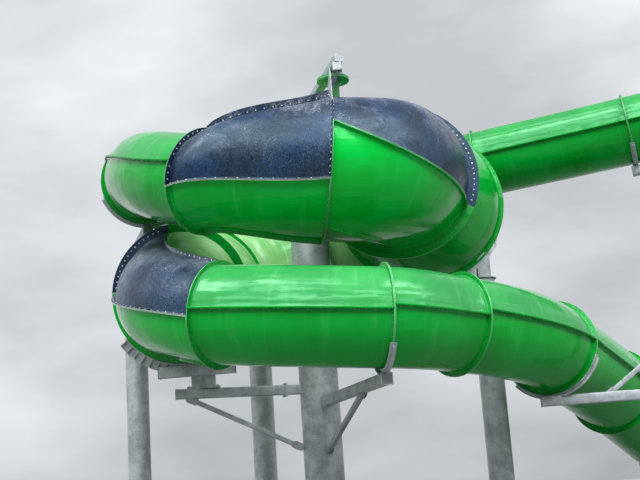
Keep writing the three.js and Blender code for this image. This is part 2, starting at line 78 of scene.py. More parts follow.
# Steel
BASE_THICKNESS = 0.040  # base plate of a column
CAP_THICKNESS = 0.030   # cap plate of a column
CAP_LIP = 0.060         # how far the cap plate stands past the shaft
ARM = 0.250             # side of an arm's hollow section
BRACE = 0.120           # side of a brace
CORNER = 0.022          # rounding of a hollow section's edges
BRACE_CORNER = 0.014    # the same for a brace, a plate and a block
PLATE_CORNER = 0.015
BLOCK_CORNER = 0.020
END_PLATE = 0.016       # thickness of the plate on an arm's free end
END_LIP = 0.030         # how much wider than the arm it is
STUB = 0.420            # from a column to the bolted flange on its arm
SADDLE = 0.022          # thickness of the band under a ring joint
SADDLE_WIDTH = 0.150
SADDLE_ARC = (-145, -35)  # what an arm's saddle holds of a ring, in degrees
SEAT = 0.00035          # gap between a piece and what it rests on
SUNK = 0.004            # how far a bar goes into a column, or a fin into its saddle
WELDED = 0.005          # how far a block goes into the plate that it is welded to
COLUMN_SIDES = 72
BAND_STEP = 3.0         # degrees of a curved band that one face stands for

# Ring joints in the order of the flow: centre, heading of the flow in degrees (0 is +X, 90 is
# +Y) and fall for each metre of run. The radius of the shell there and how far the flanges stand
# off follow where they aren't those of the narrow tube.
JOINT_TABLE = {
    "start": (15.750, 4.100, 13.240, 164, 0.09),
    "entry": (10.820, 5.500, 12.790, 164, 0.09),
    "straight_end": (5.920, 6.900, 12.370, 165, 0.09),
    "back_right": (2.300, 7.600, 12.020, 175, 0.1),
    "back": (-1.950, 6.500, 11.580, 214, 0.1),
    "back_left": (-4.330, 3.250, 11.120, 257, 0.12),
    "left": (-4.480, 0.0, 10.530, 280, 0.1),
    "bell_start": (-2.330, -4.600, 9.030, 321, 0.28, SMALL, 0.140),
    "bell_end": (0.530, -3.800, 9.380, 366, 0.1, 1.760),
    "right_front": (2.420, -1.500, 9.620, 446, 0.1, 1.890, 0.300),
    "right_back": (3.180, 0.500, 9.400, 445, 0.1, 2.240),
    "rear": (0.500, 3.500, 8.550, 540, 0.2, 2.100),
    "left_back": (-3.320, 1.000, 7.400, 625, 0.16, 1.890),
    "left_front": (-3.510, -1.000, 7.070, 622, 0.1, 1.620, 0.250),
    "lower_start": (-2.100, -4.900, 5.765, 689.5, 0.15),
    "lower_middle": (1.580, -5.300, 5.390, 729.6, 0.06),
    "lower_right": (3.380, -3.900, 5.330, 754, 0.08),
    "lower_end": (5.970, -1.600, 4.890, 778, 0.2),
    "exit": (8.200, 1.500, 3.920, 776, 0.3),
    "finish": (10.700, 4.750, 2.450, 772, 0.36),
}

# A bay runs between two joints. Its seams are angles at its start and its end, from the
# right-hand side of the flow (0) over the crown (90), and the height of a taller seam flange.
LEVEL = [(0, 0), (180, 180)]
UPRIGHT = [(-95, -95), (80, 80)]
LEVEL_NAMES = ["upper", "lower"]
UPRIGHT_NAMES = ["outer", "inner"]
THREE_NAMES = ["outer_lower", "crown", "inner"]
BAYS = [
    ("entry_tube_1", "start", "entry", LEVEL_NAMES, LEVEL),
    ("entry_tube_2", "entry", "straight_end", LEVEL_NAMES, LEVEL),
    ("back_bend_1", "straight_end", "back_right", LEVEL_NAMES, LEVEL),
    ("back_bend_2", "back_right", "back", LEVEL_NAMES, LEVEL),
    ("back_bend_3", "back", "back_left", LEVEL_NAMES, LEVEL),
    ("left_bend_1", "back_left", "left", LEVEL_NAMES, LEVEL),
    ("left_bend_2", "left", "bell_start", LEVEL_NAMES, [(28, 14), (208, 194)]),
    ("widening_bell", "bell_start", "bell_end", THREE_NAMES,
     [(-95, -95), (-14, -23), (80, 76, 0.190)]),
    ("front_bowl", "bell_end", "right_front", THREE_NAMES, [(-64, -98), (21, -26), (113, 104)]),
    ("right_bowl", "right_front", "right_back", UPRIGHT_NAMES, UPRIGHT),
    ("rear_bowl_1", "right_back", "rear", UPRIGHT_NAMES, UPRIGHT),
    ("rear_bowl_2", "rear", "left_back", UPRIGHT_NAMES, UPRIGHT),
    ("left_bowl", "left_back", "left_front", UPRIGHT_NAMES, UPRIGHT),
    ("narrowing_bell", "left_front", "lower_start", THREE_NAMES, [(-95, -95), (5, -7), (84, 88)]),
    ("lower_tube_1", "lower_start", "lower_middle", LEVEL_NAMES, [(1, 0), (181, 180)]),
    ("lower_tube_2", "lower_middle", "lower_right", LEVEL_NAMES, [(4, 1), (184, 181)]),
    ("lower_tube_3", "lower_right", "lower_end", LEVEL_NAMES, [(7, 3), (187, 183)]),
    ("exit_tube_1", "lower_end", "exit", LEVEL_NAMES, [(4, 0), (184, 180)]),
    ("exit_tube_2", "exit", "finish", LEVEL_NAMES, LEVEL),
]

# Inner shells of the loop, painted pale: a painted sheen that stands for the sky light on their
# inner walls
SKY_LIT_SHELLS = {
    "rear_bowl_1_inner",
    "rear_bowl_2_inner",
    "left_bowl_inner",
    "narrowing_bell_inner",
}

# Bays whose dark shell is bedded on the green one with a pale sealing strip
SEALED_BAYS = {"widening_bell", "narrowing_bell"}

# Columns: place, radius, height of the top and side of the base plate
COLUMNS = {
    "main_column": (0.0, 0.0, 0.525, 12.300, 1.700),
    "left_column": (-5.440, 3.200, 0.330, 9.020, 1.200),
    "back_column": (-1.950, 6.500, 0.370, 9.900, 1.200),
    "right_column": (4.700, 0.300, 0.330, 7.150, 1.200),
    "rear_right_column": (5.620, 6.950, 0.370, 10.750, 1.200),
    "entry_column": (13.280, 4.800, 0.370, 11.200, 1.300),
    "outer_column": (9.300, -2.050, 0.300, 5.200, 1.100),
    "exit_column": (10.700, 4.750, 0.200, 0.700, 0.800),
}

# Camera: pitch, roll and lens follow from the photograph's leaning columns and ring joints
IMAGE_WIDTH = 640
FOCAL_PIXELS = 1100
SENSOR = 36.0
PITCH = math.radians(13.06)
ROLL = math.radians(3.87)
EYE = Vector((0.29, -29.7, 1.6))
FARTHEST = 500


def add_camera():
    data = bpy.data.cameras.new("camera")
    data.sensor_width = SENSOR
    data.lens = FOCAL_PIXELS / IMAGE_WIDTH * SENSOR
    data.clip_end = FARTHEST
    camera = bpy.data.objects.new("camera", data)
    bpy.context.scene.collection.objects.link(camera)
    level_right = Vector((1, 0, 0))
    level_up = Vector((0, -math.sin(PITCH), math.cos(PITCH)))
    forward = Vector((0, math.cos(PITCH), math.sin(PITCH)))
    up = math.cos(ROLL) * level_up + math.sin(ROLL) * level_right
    right = math.cos(ROLL) * level_right - math.sin(ROLL) * level_up
    turn = Matrix((right, up, -forward)).transposed().to_4x4()
    camera.matrix_world = Matrix.Translation(EYE) @ turn
    bpy.context.scene.camera = camera


# Materials

# Sockets of a Mix node for colours. It repeats their names, so they go by number.
MIX_A, MIX_B, MIX_RESULT = 6, 7, 2


class Nodes:
    """A node tree, the place that its patterns follow, and short ways to add nodes."""

    def __init__(self, tree, place):
        self.tree = tree
        self.place = self.add("ShaderNodeTexCoord").outputs[place]

    def feed(self, socket, value):
        if isinstance(value, bpy.types.NodeSocket):
            self.tree.links.new(value, socket)
        else:
            socket.default_value = value

    def add(self, kind, inputs=None, **settings):
        """A new node. Each input gets a value or the output of another node."""
        node = self.tree.nodes.new(kind)
        for key, setting in settings.items():
            setattr(node, key, setting)
        for key, value in (inputs or {}).items():
            self.feed(node.inputs[key], value)
        return node

    def scaled(self, place, scale):
        return self.add("ShaderNodeMapping", {"Vector": place, "Scale": scale}).outputs["Vector"]

    def noise(self, scale, detail=3.0, rough=0.55, at=None):
        place = self.place if at is None else at
        inputs = {"Vector": place, "Scale": scale, "Detail": detail, "Roughness": rough}
        return self.add("ShaderNodeTexNoise", inputs).outputs["Fac"]

    def between(self, value, low, high, to_low=0.0, to_high=1.0, curve="SMOOTHSTEP"):
        """A value brought from the range low to high into another one, and held at its ends."""
        inputs = {"Value": value, "From Min": low, "From Max": high,
                  "To Min": to_low, "To Max": to_high}
        return self.add("ShaderNodeMapRange", inputs, interpolation_type=curve).outputs["Result"]

    def mix(self, factor, a, b, kind="MIX"):
        inputs = {"Factor": factor, MIX_A: a, MIX_B: b}
        node = self.add("ShaderNodeMix", inputs, data_type="RGBA", blend_type=kind)
        return node.outputs[MIX_RESULT]


class Surface(Nodes):
    """A material with its shader."""

    def __init__(self, name, metallic=0.0, specular=0.5, tint=(1, 1, 1, 1)):
        self.material = bpy.data.materials.new(name)
        self.material.use_nodes = True
        super().__init__(self.material.node_tree, "Object")
        self.shader = self.tree.nodes["Principled BSDF"]
        self.shader.inputs["Metallic"].default_value = metallic
        self.shader.inputs["Specular IOR Level"].default_value = specular
        self.shader.inputs["Specular Tint"].default_value = tint

    def round_tube(self, scale):
        """Places in metres round the tube and along it, for patterns that follow the flow."""
        return self.scaled(self.add("ShaderNodeUVMap", uv_map="tube").outputs["UV"], scale)

    def round_from_side(self):
        """How far round the tube a point lies from its right-hand side, in metres."""
        place = self.round_tube((1, 1, 1))
        return self.add("ShaderNodeSeparateXYZ", {"Vector": place}).outputs["X"]

    def cells(self, scale):
        inputs = {"Vector": self.place, "Scale": scale}
        return self.add("ShaderNodeTexVoronoi", inputs).outputs["Color"]

    def times(self, a, b):
        return self.add("ShaderNodeMath", {0: a, 1: b}, operation="MULTIPLY").outputs[0]

    def bump(self, height, distance, under=None):
        inputs = {"Distance": distance, "Height": height}
        if under is not None:
            inputs["Normal"] = under
        return self.add("ShaderNodeBump", inputs).outputs["Normal"]

    def finish(self, colour, roughness, normal=None):
        self.feed(self.shader.inputs["Base Color"], colour)
        self.feed(self.shader.inputs["Roughness"], roughness)
        if normal is not None:
            self.feed(self.shader.inputs["Normal"], normal)
        return self.material


def gelcoat(name, deep, fresh, faded, haze):
    """Glossy coloured gelcoat with long waves, faded in patches and streaked by water."""
    look = Surface(name, specular=0.45, tint=(0.40, 0.85, 0.55, 1))
    patches = look.between(look.noise(0.7, detail=4), 0.38, 0.66)
    colour = look.mix(patches, deep, fresh)
    streaks = look.noise(1.0, detail=5, rough=0.6, at=look.round_tube((0.5, 5.0, 1.0)))
    colour = look.mix(look.between(streaks, 0.52, 0.78, 0, haze), colour, faded)
    specks = look.noise(60, detail=2)
    colour = look.mix(look.between(specks, 0.62, 0.75, 0, 0.18), colour, deep)
    roughness = look.between(look.noise(2.2, detail=5), 0.3, 0.75, 0.06, 0.17)
    swell = look.bump(look.noise(0.9, detail=1.5), 0.05)
    lengths = look.noise(1.0, detail=2, at=look.round_tube((4.0, 0.7, 1.0)))
    waves = look.bump(lengths, 0.010, under=swell)
    ripples = look.bump(look.noise(7.0, detail=2), 0.0022, under=waves)
    fibres = look.bump(look.noise(90, detail=2), 0.0002, under=ripples)
    return look.finish(colour, roughness, fibres)


def weathered_dark(name, wear):
    """Chalky navy gelcoat: fine grain, pale haze and streaks that run down from the crown, and a
    painted sheen that turns it paler towards the crown.
    """
    look = Surface(name, specular=0.45, tint=(0.60, 0.85, 1.0, 1))
    navy = (0.008, 0.022, 0.054, 1)
    blue = (0.013, 0.048, 0.130, 1)
    chalk_and_sheen = (0.235, 0.262, 0.320, 1)
    black = (0.002, 0.006, 0.014, 1)
    grain = look.between(look.noise(34, detail=6, rough=0.8), 0.44, 0.62)
    colour = look.mix(look.between(look.noise(0.9, detail=3), 0.44, 0.60), navy, blue)
    colour = look.mix(grain, black, colour)
    haze = look.between(look.noise(0.75, detail=5, rough=0.6), 0.42, 0.64, 0.08, 1.0)
    lines = look.noise(1.0, detail=6, rough=0.7, at=look.round_tube((0.6, 9.0, 1.0)))
    wear_and_sheen = look.times(haze, look.between(lines, 0.35, 0.70, 0.35 * wear, wear))
    # Painted sheen: the chalk grows towards the crown, standing for sky light on the upward-facing
    # part
    wear_and_sheen = look.times(wear_and_sheen, look.between(look.round_from_side(), -0.5, 2.3, 0.15, 1.9))
    colour = look.mix(look.times(wear_and_sheen, grain), colour, chalk_and_sheen)
    roughness = look.between(look.noise(9, detail=4), 0.3, 0.7, 0.26, 0.48)
    waves = look.bump(look.noise(0.9, detail=1.5), 0.04)
    scratches = look.bump(look.noise(120, detail=3), 0.0004, under=waves)
    return look.finish(colour, roughness, scratches)


def galvanised(name, light, dull, spangle=16.0):
    """Hot-dip galvanised steel: spangle, cloudy oxide and streaks of rain and rust."""
    look = Surface(name, metallic=0.55)
    oxide = look.between(look.noise(2.2, detail=6, rough=0.65), 0.35, 0.68)
    colour = look.mix(oxide, dull, light)
    crystals = look.between(look.cells(spangle), 0.2, 0.8, 0, 0.14)
    colour = look.mix(crystals, colour, (0.62, 0.64, 0.65, 1))
    run = look.noise(1.0, detail=6, rough=0.7, at=look.scaled(look.place, (7.0, 7.0, 0.35)))
    colour = look.mix(look.between(run, 0.5, 0.78, 0, 0.45), colour, (0.20, 0.215, 0.225, 1))
    rust = look.times(look.between(look.noise(1.3, detail=7, rough=0.7), 0.62, 0.8), run)
    colour = look.mix(look.times(rust, 0.5), colour, (0.16, 0.085, 0.04, 1))
    roughness = look.between(look.noise(14, detail=4), 0.3, 0.7, 0.36, 0.58)
    normal = look.bump(look.noise(40, detail=4), 0.0008)
    return look.finish(colour, roughness, normal)


def floor_concrete():
    look = Surface("floor")
    colour = look.mix(look.noise(0.4, detail=4), (0.16, 0.16, 0.157, 1), (0.19, 0.19, 0.187, 1))
    return look.finish(colour, roughness=0.9)


GREEN = gelcoat("green_gelcoat", (0.0, 0.230, 0.014, 1), (0.0, 0.275, 0.025, 1),
                (0.050, 0.35, 0.09, 1), haze=0.40)
# A brighter green for the outer lower shells of the bells and bowls
BRIGHT_GREEN = gelcoat("bright_green_gelcoat", (0.0, 0.330, 0.022, 1), (0.0, 0.400, 0.045, 1),
                      (0.06, 0.46, 0.13, 1), haze=0.35)
# Painted sheen: a whiter cast on the upper shells that stands for the sky reflected on the tops
SHEEN_GREEN = gelcoat("painted_sheen_green_gelcoat", (0.022, 0.200, 0.046, 1), (0.028, 0.250, 0.056, 1),
                      (0.090, 0.32, 0.12, 1), haze=0.5)
# Painted light: a whitish green that stands for sky light on the inner walls of the loop
SKY_LIT_GREEN = gelcoat("painted_sky_light_gelcoat", (0.13, 0.36, 0.11, 1), (0.26, 0.48, 0.20, 1),
               (0.45, 0.58, 0.38, 1), haze=0.8)
# Painted highlight: a paler green on the flange rims that stands for the sky's glint on their edges
HIGHLIGHT_GREEN = gelcoat("painted_highlight_green", (0.06, 0.24, 0.09, 1), (0.11, 0.32, 0.14, 1),
                     (0.26, 0.42, 0.27, 1), haze=0.5)
DARK = weathered_dark("dark_gelcoat", wear=1.0)
DARK_FLANGE = weathered_dark("dark_flanges", wear=0.1)
BARE_EDGE = gelcoat("bare_edges", (0.22, 0.25, 0.23, 1), (0.32, 0.35, 0.33, 1),
                    (0.44, 0.47, 0.44, 1), haze=0.6)
# Painted shadow: a dark green for a lower shell's seam rims, standing for the shade under the upper
# shell's flange
SHADOWED_SEAM_GREEN = gelcoat("painted_shadow_seam_rims", (0.0, 0.060, 0.007, 1), (0.002, 0.095, 0.012, 1),
                (0.02, 0.17, 0.04, 1), haze=0.3)
STEEL = galvanised("galvanised_steel", (0.43, 0.46, 0.47, 1), (0.25, 0.27, 0.28, 1))
BOLT_BRIGHT = galvanised("bright_bolts", (0.82, 0.83, 0.83, 1), (0.62, 0.63, 0.64, 1), spangle=90)
# Painted shade: bolts on green flanges darkened as their shade and tinted green as a painted
# reflection of the shell
SHADED_BOLTS = galvanised("painted_shade_bolts", (0.10, 0.16, 0.10, 1), (0.05, 0.09, 0.055, 1), spangle=90)


# Directions and turns


def unit(vector):
    return vector / np.linalg.norm(vector)


def even_turns(count, first=0.0):
    """Even angles round a circle. first is where they start, as a share of one step."""
    return [2 * math.pi * (i + first) / count for i in range(count)]


def level_way(turn):
    """The level unit vector at an angle from +X."""
    return np.array((math.cos(turn), math.sin(turn), 0))


# Ring joints and centre lines


def flow_direction(heading, fall):
    """The direction of a flow with some heading and some fall for each metre of run."""
    turn = math.radians(heading)
    return unit(np.array((math.cos(turn), math.sin(turn), -fall)))


class Place:
    """A cross-section of the tube: its centre, directions, radius and share of the bay."""

    def __init__(self, centre, heading, fall, radius, share=0.0):
        self.centre = np.asarray(centre, float)
        self.heading, self.fall = heading, fall
        self.along = flow_direction(heading, fall)
        self.side = unit(np.cross(self.along, (0, 0, 1)))
        self.up = np.cross(self.side, self.along)
        self.radius = radius
        self.share = share
        self.flange = FLANGE

    def outward(self, angle):
        return self.side * math.cos(angle) + self.up * math.sin(angle)

    def around(self, angle):
        return self.up * math.cos(angle) - self.side * math.sin(angle)

    def at(self, angle, radius, aside=0.0):
        return self.centre + self.outward(angle) * radius + self.around(angle) * aside

    def moved(self, away, share):
        return Place(self.centre + self.along * away, self.heading, self.fall, self.radius, share)

    def below(self, drop):
        """The point that lies some way under the lowest edge of the ring flange."""
        return self.centre - self.up * (self.radius + self.flange + drop)


def joint(x, y, z, heading, fall, radius=SMALL, flange=FLANGE):
    ring = Place((x, y, z), heading, fall, radius)
    ring.flange = flange
    return ring


JOINTS = {name: joint(*row) for name, row in JOINT_TABLE.items()}


def eased(start, end, share, easing=EASING):
    """A value part of the way along a bay. It changes fast at the start, then slowly."""
    return end + (start - end) * (1 - share) ** easing


class CentreLine:
    """The curve between two joints. It leaves both square to their faces, but a bell's keeps
    one slope."""

    def __init__(self, start, end):
        self.start, self.end = start, end
        run = end.centre - start.centre
        self.chord = float(np.linalg.norm(run))
        self.turn = math.acos(float(np.clip(start.along @ end.along, -1, 1)))
        # The length at which the curve's handles make it follow an arc
        handle = self.chord / (3 * math.cos(self.turn / 4) ** 2)
        self.bell = abs(start.radius - end.radius) > BELL
        slope = -run[2] / math.hypot(run[0], run[1])
        leaving, arriving = (
            flow_direction(at.heading, slope) if self.bell else at.along for at in (start, end)
        )
        self.corners = (
            start.centre,
            start.centre + leaving * handle,
            end.centre - arriving * handle,
            end.centre,
        )

    def place(self, share):
        a, b, c, d = self.corners
        rest = 1 - share
        centre = (rest**3 * a + 3 * rest * rest * share * b
                  + 3 * rest * share * share * c + share**3 * d)
        heading = self.start.heading * rest + self.end.heading * share
        fall = self.start.fall * rest + self.end.fall * share
        widens = self.bell and self.end.radius > self.start.radius
        radius = eased(self.start.radius, self.end.radius, share, CONE if widens else EASING)
        return Place(centre, heading, fall, radius, share)

    def steps(self):
        bend = math.degrees(self.turn) / TURN_STEP
        spread = BELL_STEPS if self.bell else 2
        return max(math.ceil(bend), math.ceil(self.chord / LONGEST_FACE), spread)


# Half of a flange's section, from the bolted face to where the fillet meets the shell: how far
# each corner is from the bolted face, and how far it stands off the shell.
FILLET_TURNS = [math.radians(degrees) for degrees in (90, 60, 30, 0)]
FILLET_CURVE = [
    (PLATE + STEP + FILLET * (1 - math.sin(turn)), FILLET * (1 - math.cos(turn)))
    for turn in FILLET_TURNS
]
FLANGE_PROFILE = [
    (FIT, FLANGE - EDGE),
    (FIT + EDGE, FLANGE),
    (PLATE - EDGE, FLANGE),
    (PLATE, FLANGE - EDGE),
    *FILLET_CURVE,
]
FLANGE_REACH = FLANGE_PROFILE[-1][0]


def raised(rise, flange):
    """How far a corner of the flange's section stands off the shell under a taller flange."""
    return rise + flange - FLANGE if rise > FLANGE / 2 else rise


def ring_stations(ring, way_in, share):
    """Places through one ring flange. way_in is 1 at the bay's start and -1 at its end."""
    return [
        (ring.moved(way_in * away, share), raised(rise, ring.flange))
        for away, rise in FLANGE_PROFILE
    ]


def bay_stations(start, end):
    """Places along a whole bay, each with how far its outside stands off the shell there."""
    line = CentreLine(start, end)
    steps = line.steps()
    stations = ring_stations(start, 1, 0.0)
    for i in range(1, steps):
        place = line.place(i / steps)
        from_start = (place.centre - start.centre) @ start.along
        to_end = (end.centre - place.centre) @ end.along
        if min(from_start, to_end) > 2 * FLANGE_REACH:
            stations.append((place, 0.0))
    return stations + ring_stations(end, -1, 1.0)[::-1]


# Shells


def at_share(seam, share):
    """The angle of a seam part of the way along its bay."""
    return math.radians(eased(seam[0], seam[1], share))


def seam_flange(seam):
    """How far the flanges of a seam stand off the shell."""
    return seam[2] if len(seam) > 2 else FLANGE


def shell_section(place, lift, first_seam, last_seam, facets):
    """The closed section of one shell, as (angle, radius, aside) corners."""
    first, last = at_share(first_seam, place.share), at_share(last_seam, place.share)
    inside, outside = place.radius - WALL, place.radius + lift
    bend = FLANGE_REACH / place.radius
    turns = [i / facets for i in range(facets + 1)]

    def flange(seam):
        height = FLANGE if lift > FLANGE / 2 else seam_flange(seam)
        return [
            (away, place.radius + max(raised(rise, height), lift))
            for away, rise in FLANGE_PROFILE[:-1]
        ]

    section = [(last + (first - last) * turn, inside, 0) for turn in turns]
    section += [(first, radius, away) for away, radius in flange(first_seam)]
    section += [(first + bend + (last - first - 2 * bend) * turn, outside, 0) for turn in turns]
    section += [(last, radius, -away) for away, radius in reversed(flange(last_seam))]
    return section


def new_object(name, vertices, faces, material):
    mesh = bpy.data.meshes.new(name)
    mesh.from_pydata([tuple(v) for v in vertices], [], [tuple(f) for f in faces])
    mesh.materials.append(material)
    mesh.polygons.foreach_set("use_smooth", [True] * len(mesh.polygons))
    mesh.set_sharp_from_angle(angle=math.radians(SHARP))
    piece = bpy.data.objects.new(name, mesh)
    bpy.context.scene.collection.objects.link(piece)
    return piece


def settle(piece, slot, *nodes):
    """The piece rides on the part's body and stands for nodes. The slot is not used."""
    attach(piece, BODY)
    if nodes:
        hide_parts(*nodes)


def loft_faces(rows, size):
    """Faces of a closed skin over rows of corners, with both ends closed."""
    faces = []
    for row in range(rows - 1):
        for i in range(size):
            a, b = row * size + i, row * size + (i + 1) % size
            faces.append((a, a + size, b + size, b))
    faces.append(range(size))
    last = (rows - 1) * size
    faces.append(range(last + size - 1, last - 1, -1))
    return faces


# What a face of a shell belongs to. The numbers are those of its materials.
SKIN, FLANGES, EDGES, FIRST_EDGE, LAST_EDGE = range(5)

# Faces of a flange's section from the bolted face to the fillet, and which is its outer edge
FLANGE_FACES = 4
EDGE_FACE = 1


def face_kinds(rows, facets):
    """The kind of every face of a shell, in the order of loft_faces."""
    arc = facets + 1
    seam = len(FLANGE_PROFILE) - 1
    size = 2 * (arc + seam)
    kinds = np.full((rows - 1, size), SKIN)
    outside = slice(arc, size)
    kinds[:, arc:arc + FLANGE_FACES] = FLANGES
    kinds[:, size - FLANGE_FACES:] = FLANGES
    kinds[:FLANGE_FACES, outside] = FLANGES
    kinds[rows - 1 - FLANGE_FACES:, outside] = FLANGES
    kinds[EDGE_FACE, outside] = EDGES
    kinds[rows - 2 - EDGE_FACE, outside] = EDGES
    kinds[:, arc + EDGE_FACE] = FIRST_EDGE
    kinds[:, size - 2 - EDGE_FACE] = LAST_EDGE
    return [*kinds.ravel(), FLANGES, FLANGES]


def add_shell(name, stations, first_seam, last_seam, materials, slot):
    """One shell, with a map of its places in metres round the tube and along it."""
    facets = max(FEWEST_FACETS, round((last_seam[0] - first_seam[0]) / ARC_STEP))
    vertices, tube_map = [], []
    travelled = 0.0
    before = stations[0][0].centre
    for place, lift in stations:
        travelled += float(np.linalg.norm(place.centre - before))
        before = place.centre
        section = shell_section(place, lift, first_seam, last_seam, facets)
        for angle, radius, aside in section:
            vertices.append(place.at(angle, radius, aside))
            tube_map.append((angle * place.radius, travelled))
    piece = new_object(name, vertices, loft_faces(len(stations), len(section)), materials[SKIN])
    for material in materials[FLANGES:]:
        piece.data.materials.append(material)
    piece.data.polygons.foreach_set("material_index", face_kinds(len(stations), facets))
    corners = np.zeros(len(piece.data.loops), int)
    piece.data.loops.foreach_get("vertex_index", corners)
    layer = piece.data.uv_layers.new(name="tube")
    layer.uv.foreach_set("vector", np.asarray(tube_map)[corners].ravel())
    settle(piece, slot, name)


# Bolts


def disc(radius, bottom, top, sides):
    """Corners and faces of an upright disc, open underneath."""
    corners = [
        (radius * math.cos(turn), radius * math.sin(turn), height)
        for height in (bottom, top)
        for turn in even_turns(sides)
    ]
    faces = [(i, (i + 1) % sides, sides + (i + 1) % sides, sides + i) for i in range(sides)]
    return corners, [*faces, tuple(range(sides, 2 * sides))]


def bolt_template():
    """A washer with a hexagonal head on it, standing on the plane of its first two axes."""
    washer_radius, washer_height, washer_sides = WASHER
    head_radius, head_height, head_sides = HEAD
    corners, faces = disc(washer_radius, 0, washer_height, washer_sides)
    start = len(corners)
    head, head_faces = disc(head_radius, washer_height, washer_height + head_height, head_sides)
    faces += [tuple(start + i for i in face) for face in head_faces]
    return np.array(corners + head), faces


BOLT_CORNERS, BOLT_FACES = bolt_template()


def add_bolts(name, seats, material):
    """One piece with every bolt of a shell. A seat is a point, the way out and a way across."""
    vertices, faces = [], []
    for i, (centre, axis, across) in enumerate(seats):
        turn = np.array([across, np.cross(axis, across), axis])
        vertices.append(BOLT_CORNERS @ turn + centre)
        start = i * len(BOLT_CORNERS)
        faces += [tuple(start + corner for corner in face) for face in BOLT_FACES]
    piece = new_object(name, np.concatenate(vertices), faces, material)
    settle(piece, "galvanised_steel")


def seam_angles_at(name):
    """The angles of every seam that ends at a joint, on either side of it."""
    angles = []
    for _, start, end, _, seams in BAYS:
        if start == name:
            angles += [seam[0] for seam in seams]
        if end == name:
            angles += [seam[1] for seam in seams]
    return [math.radians(angle) for angle in angles]


def ring_bolt_angles(name):
    """Even angles round a ring joint that are clear of its seams."""
    radius = JOINTS[name].radius
    count = round(2 * math.pi * (radius + JOINTS[name].flange) / RING_BOLT_SPACING)
    seams = seam_angles_at(name)
    clear = BOLT_CLEARANCE / radius

    def apart(a, b):
        return abs((a - b + math.pi) % (2 * math.pi) - math.pi)

    return [a for a in even_turns(count) if all(apart(a, seam) > clear for seam in seams)]


RING_BOLTS = {name: ring_bolt_angles(name) for name in JOINTS}


def ring_seats(name, way, first, last):
    """Bolt seats on the back of one ring flange between two seams. way is 1 at the bay's start."""
    ring = JOINTS[name]
    seats = []
    for angle in RING_BOLTS[name]:
        from_first = (angle - first) % (2 * math.pi)
        if from_first < last - first:
            place = ring.moved(way * PLATE, 0)
            seats.append((place.at(angle, ring.radius + RING_BOLT_HEIGHT * ring.flange),
                          ring.along * way, ring.outward(angle)))
    return seats


def seam_seats(line, seam, way):
    """Bolt seats on the back of one seam flange. way is 1 where the shell starts at the seam."""
    end_gap = 0.5 * SEAM_BOLT_SPACING
    # The length of the arc that the bay follows
    half = line.turn / 2
    length = line.chord * half / math.sin(half) if half > STRAIGHT else line.chord
    count = round((length - 2 * end_gap) / SEAM_BOLT_SPACING)
    seats = []
    for i in range(count + 1):
        share = (end_gap + (length - 2 * end_gap) * i / count) / length
        place = line.place(share)
        angle = at_share(seam, share)
        seats.append((place.at(angle, place.radius + SEAM_BOLT_HEIGHT, way * PLATE),
                      place.around(angle) * way, place.along))
    return seats


def add_bay(name, start, end, shell_names, seams):
    """The shells of one bay, each with a piece that holds its bolts."""
    stations = bay_stations(JOINTS[start], JOINTS[end])
    line = CentreLine(JOINTS[start], JOINTS[end])
    for i, shell_name in enumerate(shell_names):
        first_seam = seams[i]
        after = seams[(i + 1) % len(seams)]
        last_seam = after if i + 1 < len(seams) else (after[0] + 360, after[1] + 360, *after[2:])
        piece_name = f"{name}_{shell_name}"
        dark = shell_name == "crown"
        slot = "dark_shell" if dark else "green_shell"
        # The seam rim next to a dark shell: a pale sealing strip in sealed bays, else the painted
        # highlight green
        seam_rim = BARE_EDGE if name in SEALED_BAYS else HIGHLIGHT_GREEN
        if dark:
            materials = [DARK, DARK_FLANGE, DARK_FLANGE, seam_rim, DARK_FLANGE]
        elif shell_name == "outer_lower":
            materials = [BRIGHT_GREEN, GREEN, HIGHLIGHT_GREEN, GREEN, seam_rim]
        elif shell_name == "upper":
            # An upper shell carries the painted sky sheen
            materials = [SHEEN_GREEN, GREEN, HIGHLIGHT_GREEN, GREEN, GREEN]
        elif shell_name == "lower":
            # The lower shell's seam rims carry the painted shadow under the upper shell's flange
            materials = [GREEN, GREEN, HIGHLIGHT_GREEN, SHADOWED_SEAM_GREEN, SHADOWED_SEAM_GREEN]
        else:
            # Inner shells of the loop get the painted sky light
            skin = SKY_LIT_GREEN if piece_name in SKY_LIT_SHELLS else GREEN
            materials = [skin, GREEN, HIGHLIGHT_GREEN, GREEN, GREEN]
        add_shell(piece_name, stations, first_seam, last_seam, materials, slot)
        seats = [
            *ring_seats(start, 1, math.radians(first_seam[0]), math.radians(last_seam[0])),
            *ring_seats(end, -1, math.radians(first_seam[1]), math.radians(last_seam[1])),
            *seam_seats(line, first_seam, 1),
            *seam_seats(line, last_seam, -1),
        ]
        # Bolts on green shells take the painted shade colour
        add_bolts(f"{piece_name}_bolts", seats, BOLT_BRIGHT if dark else SHADED_BOLTS)


# Steel shapes


def rounded_rectangle(width, height, corner, turns=3):
    """Corners of a rounded rectangle, anticlockwise."""
    outline = []
    for sign_x, sign_y, first in ((1, 1, 0), (-1, 1, 90), (-1, -1, 180), (1, -1, 270)):
        for i in range(turns + 1):
            angle = math.radians(first + 90 * i / turns)
            outline.append((
                sign_x * (width / 2 - corner) + corner * math.cos(angle),
                sign_y * (height / 2 - corner) + corner * math.sin(angle),
            ))
    return outline


def upright_frame(direction):
    """The unit vector of a direction, the level one across it and the one up from both."""
    along = unit(np.asarray(direction, float))
    across = unit(np.cross((0, 0, 1), along))
    return along, across, np.cross(along, across)


